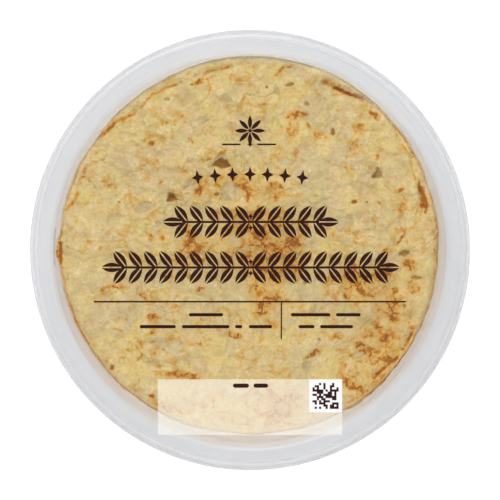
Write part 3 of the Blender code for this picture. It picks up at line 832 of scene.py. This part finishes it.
# Browning: tan clouds round each mark and along the seams, brown flecks inside them, and a
# net of fine lines where the skins of bubbles burst in the pan. The side was only warmed, so it
# is an even tan, with the brown line of the rim across it.
cloudy = place.noise(size=0.0052, detail=5.0, roughness=0.6, distortion=0.5)
fleck = place.noise(size=0.0027, detail=5.0, roughness=0.62, distortion=0.9)
tossed = place.noise(size=0.0030, output="Color").vector("SUBTRACT", (0.5, 0.5, 0.5))
tossed = tossed.vector("MULTIPLY", (BUBBLE_TOSS, BUBBLE_TOSS, BUBBLE_TOSS))
bubble_places = {"Vector": place.vector("ADD", tossed), "Scale": 1 / BUBBLE_SIZE, "Randomness": 1.0}
to_bubble_edge = {"feature": "DISTANCE_TO_EDGE"}
net = 1 - place.node("ShaderNodeTexVoronoi", to_bubble_edge, bubble_places, "Distance").step(0.02, 0.14)
wrinkle = place.noise(size=0.0085, distortion=0.7) - 0.5
fold = place.vector("ADD", (0.9, 0.3, 0.0)).noise(size=0.0140, detail=2.0, distortion=1.2) - 0.5
creases = (1 - fold * fold * 70).step(0.0, 1.0) * broad.step(0.40, 0.60)
patchy = (cloudy - 0.5) + (broad - 0.5) * 0.7
lace = (1 - wrinkle * wrinkle * 160).step(0.0, 1.0) * patchy.step(-0.06, 0.12)
density = painted("browned")
warm = painted("warmed") * 0.48 + density * 0.62 + patchy * 1.4 + painted("seams") * 0.30
tan = (warm + lace * 0.35 + (fine - 0.5) * 0.8).step(-0.05, 1.05)
flecked = density * 0.46 + patchy * 1.1 + (fleck - 0.5) * 2.7 + net * density * 0.85
brown = (flecked + lace * 0.30).step(0.24, 1.14)
off_crack = (painted("across_crack") + (fine - 0.5) * 2.4 + (cloudy - 0.5) * 1.6).size()
crack_strength = painted("cracked") + (cloudy - 0.5) * 2.2 + (fleck - 0.5) * 2.0 - 0.15
cracks = (1 - off_crack.step(0.35, 1.45)) * crack_strength.step(0.05, 1.15)
uneven = fine * 1.1 + 0.45
fried = (tan * 0.33 + brown * uneven * (density * 0.36 + 0.40)) * (1 - potato_thin * 0.55)
below_top = painted("side")
heat = fried * (1 - below_top * 0.75) + cracks * uneven * (painted("cracked") * 0.36 + 0.40)
surface = stained(heat, (below_top * 0.75).mix(surface, SIDE_TAN))

# Along its rim at the head of the pack the skin is painted paler: painted light where the flange shades
# it.
from_middle = place.vector("SUBTRACT", (EGG_X, EGG_Y, 0.0)).vector("MULTIPLY", (1.0, 1.0, 0.0))
near_rim = from_middle.vector("LENGTH", output="Value").step(RIM_LIGHT_FROM, RIM_LIGHT_TO)
at_head = place.along("Y").step(HEAD_FROM, HEAD_TO)
surface = (near_rim * at_head * 0.65).mix(surface, RIM_PAINTED_LIGHT)
# Pits, specks and tears darkened to brown: the specks' own colour, and painted shade in the pits and
# tears.
pit_darkening = painted("pitted") + (fine - 0.5) * 0.7 + (mottle - 0.5) * 0.5
surface = (pit_darkening.step(0.15, 1.00) * 0.95).mix(surface, PIT_BROWN_AND_SHADE)
height = fine * 0.6 + mottle + fleck * 0.4 + creases * 0.45 + dust * 0.15
plug(egg_shader, {
    "Base Color": surface,
    "Specular IOR Level": 0.18,
    "Roughness": mottle * 0.25 + 0.36,
    "Normal": place.bump(height, SKIN_BUMP),
})
omelette.data.materials.append(egg)
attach(omelette, "root")
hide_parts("omelette")


# The lid: a thin clear film, drawn taut and welded to the flange all round. It dips a hair
# between the rim and the omelette, and carries the print on its outer face.
film_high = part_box("lid_film")[1]
film_radius = film_high.x
FILM_SIDES, FILM_THICKNESS, FILM_SMOOTH_BELOW = 192, 0.00006, radians(40)
FILM_DIP, DIP_PLACE, DIP_WIDTH, DIP_RIPPLE = 0.00012, 0.90, 0.035, 9.0
FILM_RINGS = (1.0, 0.985, 0.96, 0.945, 0.93, 0.91, 0.88, 0.83, 0.7, 0.6, 0.5, 0.4, 0.3, 0.2, 0.1)
FILM_TINT, FILM_CLEAR, FILM_BUMP = (0.80, 0.82, 0.84, 1.0), (0.985, 0.985, 0.985, 1.0), 0.0006
GLOSS_HEAD_ON, GLOSS_AT_EDGE = 0.009, 0.5


def film_dip(x, y):
    """How far the film hangs below its rim at this place."""
    share, angle = hypot(x, y) / film_radius, atan2(y, x)
    pull = exp(-(((share - DIP_PLACE) / DIP_WIDTH) ** 2))
    ripple = 0.5 + noise.noise(Vector((cos(angle), sin(angle), 2.0)) * DIP_RIPPLE)
    return FILM_DIP * pull * max(0.0, ripple)


bpy.ops.mesh.primitive_circle_add(
    vertices=FILM_SIDES,
    radius=film_radius,
    fill_type="NOTHING",
    location=(0.0, 0.0, film_high.z),
    enter_editmode=True,
)
grow_rings([(film_radius * share, film_high.z) for share in FILM_RINGS])
bpy.ops.mesh.edge_face_add()
bpy.ops.object.mode_set(mode="OBJECT")
film = bpy.context.object
film.name = "clear_film"
bpy.ops.object.transform_apply()
for vertex in film.data.vertices:
    vertex.co.z -= film_dip(vertex.co.x, vertex.co.y)
thicken(film, "sheet", FILM_THICKNESS, -1.0)
bpy.ops.object.shade_smooth_by_angle(angle=FILM_SMOOTH_BELOW)

# The film is clear where it is seen head on, and glossy where it is seen at a low angle.
clear, clear_shader, place = finish("clear_film")
stretch = place.noise(size=0.030)
plug(clear_shader, {
    "Base Color": FILM_TINT,
    "Roughness": stretch * 0.06 + 0.05,
    "Normal": place.bump(stretch, FILM_BUMP),
})
glance = place.node("ShaderNodeLayerWeight", None, {"Blend": 0.5}, output="Facing")
see_through = place.node("ShaderNodeBsdfTransparent", None, {"Color": FILM_CLEAR})
glossy = glance**4 * GLOSS_AT_EDGE + GLOSS_HEAD_ON
layers = {0: glossy, 1: see_through, 2: Wire(clear_shader.outputs[0])}
skin = place.node("ShaderNodeMixShader", None, layers)
plug(clear.node_tree.nodes["Material Output"], {"Surface": skin})
film.data.materials.append(clear)
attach(film, "root")
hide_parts("lid_film")


# The print: dark brown ink laid on the outer face of the film in one pass, before the pack is
# sealed. It is plain ornament of a rosette, stars, two leafy sprays, a rule and short bars.
# Places and sizes of the print are in mm on the flat film, and turns in degrees.
INK_THICKNESS, INK_LIFT = 0.00003, 0.00001
INK_DARK, INK_PALE, INK_BUMP = (0.028, 0.006, 0.005), (0.042, 0.011, 0.009), 0.00002
ROSETTE_PLACE, PETAL_LENGTH, PETAL_WIDTH, PETALS = (0.0, 54.0), 6.2, 1.9, 8
PETAL_REACH = PETAL_LENGTH * 0.62
LOZENGE_WIDTH, LOZENGE_WAIST = 2.6, 0.5
DASH_ROW_Y, DASHES, DASH_WIDTH = 47.8, ((-12.7, -4.2), (3.3, 11.8)), 0.8
STAR_WIDTH, STAR_HEIGHT, STAR_PITCH, STAR_WAIST = 5.6, 7.0, 7.9, 0.42
STAR_ARCH_TOP, STAR_ARCH_RADIUS, STARS = 34.3, 190.0, 7
LEAF_LENGTH, LEAF_WIDTH, LEAF_VEIN, LEAF_LEAN, LEAF_PITCH = 9.2, 4.3, 0.55, 52, 6.9
LEAF_SIDES, STEM_WIDTH = 20, 1.0
SPRAYS = ((0.3, 12.7, 5), (0.3, -7.9, 9))
RULE, RULE_WIDTH = ((-70.7, -23.4), (70.7, -23.4)), 0.75
DIVIDER, DIVIDER_WIDTH = ((14.2, -23.4), (14.2, -40.5)), 0.6
BAR_WIDTH = 1.5
BARS = (
    (-29.3, ((-27.7, -12.2), (18.5, 36.4), (38.9, 50.1))),
    (-34.7, ((-49.9, -33.6), (-30.8, -9.3), (-6.8, -3.5), (-0.5, 10.0), (22.0, 29.2), (31.7, 46.6))),
)


def flat_bar(start, end, width):
    """A flat bar with round ends from one point to another."""
    run = Vector(end) - Vector(start)
    middle = (Vector(end) + Vector(start)) / 2
    bpy.ops.mesh.primitive_plane_add(size=1.0, enter_editmode=True)
    bpy.ops.transform.resize(value=(run.length, width, 1.0))
    bpy.ops.mesh.bevel(offset=width * 0.49, segments=5, affect="VERTICES")
    bpy.ops.object.mode_set(mode="OBJECT")
    bar = bpy.context.object
    bar.location = (middle.x, middle.y, 0.0)
    bar.rotation_euler.z = atan2(run.y, run.x)
    return bar


def flat_bars(rows, width):
    """Flat bars along rows of (height on the film, the runs of its bars)."""
    return [flat_bar((left, y), (right, y), width) for y, runs in rows for left, right in runs]


def flat_star(width, height, waist):
    """A flat star with four points, as deep between them as the waist says."""
    bpy.ops.mesh.primitive_circle_add(vertices=8, fill_type="NGON")
    star = bpy.context.object
    for index, vertex in enumerate(star.data.vertices):
        share = 1.0 if index % 2 == 0 else waist
        vertex.co = (vertex.co.x * share * width / 2, vertex.co.y * share * height / 2, 0.0)
    return star


def half_leaf(length, width, vein):
    """One side of a pointed leaf that lies along X, beside its vein."""
    bpy.ops.mesh.primitive_circle_add(vertices=LEAF_SIDES, fill_type="NGON", enter_editmode=True)
    bpy.ops.mesh.bisect(plane_co=(0.0, 0.0, 0.0), plane_no=(0.0, 1.0, 0.0), clear_inner=True)
    bpy.ops.object.mode_set(mode="OBJECT")
    half = bpy.context.object
    for vertex in half.data.vertices:
        side = max(0.0, vertex.co.y)
        vertex.co = (vertex.co.x * length / 2, (vein + side * side * (width - vein)) / 2, 0.0)
    return half


def stamped(part, x, y, turn=0.0):
    """A copy of a flat part with its own mesh, at this place and turned by this much."""
    copy = part.copy()
    copy.data = part.data.copy()
    bpy.context.scene.collection.objects.link(copy)
    copy.location = (x, y, 0.0)
    copy.rotation_euler.z = radians(turn)
    return copy


def whole_leaf(half, x, y, turn, reach=LEAF_LENGTH / 2):
    """Both halves of a leaf that grows from this place in this direction."""
    x += reach * cos(radians(turn))
    y += reach * sin(radians(turn))
    return [stamped(half, x, y, turn + side) for side in (0, 180)]


def lay_on_film(parts, name, material, layer=0):
    """Joins flat parts into one piece and lays it on the film, following its dip. On the real
    pack the film clings to the omelette, so print that thin throws no shadow."""
    bpy.ops.object.select_all(action="DESELECT")
    for part in parts:
        part.select_set(True)
    bpy.context.view_layer.objects.active = parts[0]
    bpy.ops.object.join()
    bpy.ops.object.transform_apply()
    printed = bpy.context.object
    printed.name = name
    for vertex in printed.data.vertices:
        x, y = vertex.co.x / 1000, vertex.co.y / 1000
        vertex.co = (x, y, film_high.z + INK_LIFT + layer * INK_THICKNESS - film_dip(x, y))
    thicken(printed, "coat", INK_THICKNESS, 1.0)
    printed.data.materials.append(material)
    printed.visible_shadow = False
    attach(printed, "root")


ink, ink_shader, place = finish("brown_ink")
speckle = place.noise(size=0.0009)
plug(ink_shader, {
    "Base Color": speckle.step(0.35, 0.70).mix(INK_DARK, INK_PALE),
    "Specular IOR Level": 0.15,
    "Roughness": speckle * 0.20 + 0.32,
    "Normal": place.bump(speckle, INK_BUMP),
})

petal = half_leaf(PETAL_LENGTH, PETAL_WIDTH, 0.0)
rosette = []
for index in range(PETALS):
    rosette += whole_leaf(petal, *ROSETTE_PLACE, 360 / PETALS * index, PETAL_REACH)
bpy.data.objects.remove(petal)
lozenge = flat_star(LOZENGE_WIDTH, LOZENGE_WIDTH, LOZENGE_WAIST)
rosette += [stamped(lozenge, *ROSETTE_PLACE), stamped(lozenge, ROSETTE_PLACE[0], DASH_ROW_Y)]
rosette += flat_bars([(DASH_ROW_Y, DASHES)], DASH_WIDTH)
lay_on_film(rosette, "printed_rosette", ink)

star = flat_star(STAR_WIDTH, STAR_HEIGHT, STAR_WAIST)
stars = []
for index in range(STARS):
    x = (index - (STARS - 1) / 2) * STAR_PITCH
    lean = degrees(asin(x / STAR_ARCH_RADIUS))
    drop = STAR_ARCH_RADIUS * (1 - cos(radians(lean)))
    stars.append(stamped(star, x, STAR_ARCH_TOP - drop, -lean))
bpy.data.objects.remove(star)
lay_on_film(stars, "printed_stars", ink)

# Each spray grows both ways from its middle: leaves in pairs, and one leaf at either tip.
half = half_leaf(LEAF_LENGTH, LEAF_WIDTH, LEAF_VEIN)
for row, (centre_x, centre_y, pairs) in enumerate(SPRAYS, start=1):
    spray = [stamped(lozenge, centre_x, centre_y + side * LOZENGE_WIDTH) for side in (-1, 1)]
    reach = (pairs - 0.5) * LEAF_PITCH
    spray.append(flat_bar((centre_x - reach, centre_y), (centre_x + reach, centre_y), STEM_WIDTH))
    for index in range(pairs):
        along = (index + 0.15) * LEAF_PITCH
        for side, turn in ((1, LEAF_LEAN), (1, -LEAF_LEAN), (-1, 180 - LEAF_LEAN), (-1, 180 + LEAF_LEAN)):
            spray += whole_leaf(half, centre_x + side * along, centre_y, turn)
    for side, turn in ((1, 0), (-1, 180)):
        spray += whole_leaf(half, centre_x + side * (reach - 0.4), centre_y, turn)
    lay_on_film(spray, f"printed_spray_{row}", ink)
bpy.data.objects.remove(half)
bpy.data.objects.remove(lozenge)

rules = [flat_bar(*RULE, RULE_WIDTH), flat_bar(*DIVIDER, DIVIDER_WIDTH)]
lay_on_film(rules + flat_bars(BARS, BAR_WIDTH), "printed_rules", ink)


# The panel at the foot of the film: a veil of warm white ink with two bars over it, and a
# solid white square that carries a patch of small dark blocks. Each is (left, right, foot,
# head) in mm, and each layer of ink lies over the one before.
PANEL = (-41.7, 41.7, -83.7, -58.5)
SQUARE = (26.8, 41.7, -73.5, -58.5)
BLOCKS, BLOCK_COUNT = (28.3, 40.1, -71.9, -60.2), 12
PANEL_BARS, PANEL_BAR_WIDTH = [(-61.4, ((-7.7, -0.5), (1.6, 8.2)))], 1.9
VEIL_DULL, VEIL_PALE, VEIL_PAINTED_GLOW = (0.98, 0.95, 0.86), (1.0, 0.98, 0.90), (1.0, 0.97, 0.86, 1.0)
WHITE_DULL, WHITE_PALE = (0.93, 0.93, 0.92), (1.0, 1.0, 0.99)


def flat_grid(box, columns, rows):
    """A flat rectangle from left to right and from foot to head, cut into this many cells."""
    left, right, foot, head = box
    bpy.ops.mesh.primitive_grid_add(x_subdivisions=columns, y_subdivisions=rows, size=1.0)
    grid = bpy.context.object
    grid.scale = (right - left, head - foot, 1.0)
    grid.location = ((left + right) / 2, (foot + head) / 2, 0.0)
    return grid


veil, veil_shader, place = finish("white_veil")
veil_patches = place.noise(size=0.006, detail=4.0)
plug(veil_shader, {
    "Base Color": veil_patches.mix(VEIL_DULL, VEIL_PALE),
    # A faint glow: painted light for the light that comes through the thin ink from behind.
    "Emission Color": VEIL_PAINTED_GLOW,
    "Emission Strength": 0.10,
    "Roughness": veil_patches * 0.2 + 0.40,
    "Specular IOR Level": 0.2,
    "Alpha": 0.24,
})
lay_on_film([flat_grid(PANEL, 40, 16)], "printed_panel", veil)

white, white_shader, place = finish("white_ink")
white_patches = place.noise(size=0.003, detail=4.0)
plug(white_shader, {
    "Base Color": white_patches.mix(WHITE_DULL, WHITE_PALE),
    "Roughness": white_patches * 0.2 + 0.35,
})
lay_on_film([flat_grid(SQUARE, 4, 4)], "printed_square", white, layer=2)

blocks = flat_grid(BLOCKS, BLOCK_COUNT, BLOCK_COUNT)
bpy.ops.object.mode_set(mode="EDIT")
bpy.ops.mesh.select_mode(type="FACE")
bpy.ops.mesh.select_all(action="DESELECT")
bpy.ops.object.mode_set(mode="OBJECT")
for index, face in enumerate(blocks.data.polygons):
    column, row = index % BLOCK_COUNT, index // BLOCK_COUNT
    face.select = noise.noise(Vector((column * 3.7, row * 5.3, 1.9))) < 0.0
bpy.ops.object.mode_set(mode="EDIT")
bpy.ops.mesh.delete(type="FACE")
bpy.ops.object.mode_set(mode="OBJECT")
lay_on_film([blocks], "printed_blocks", ink, layer=4)
lay_on_film(flat_bars(PANEL_BARS, PANEL_BAR_WIDTH), "printed_bars", ink, layer=2)
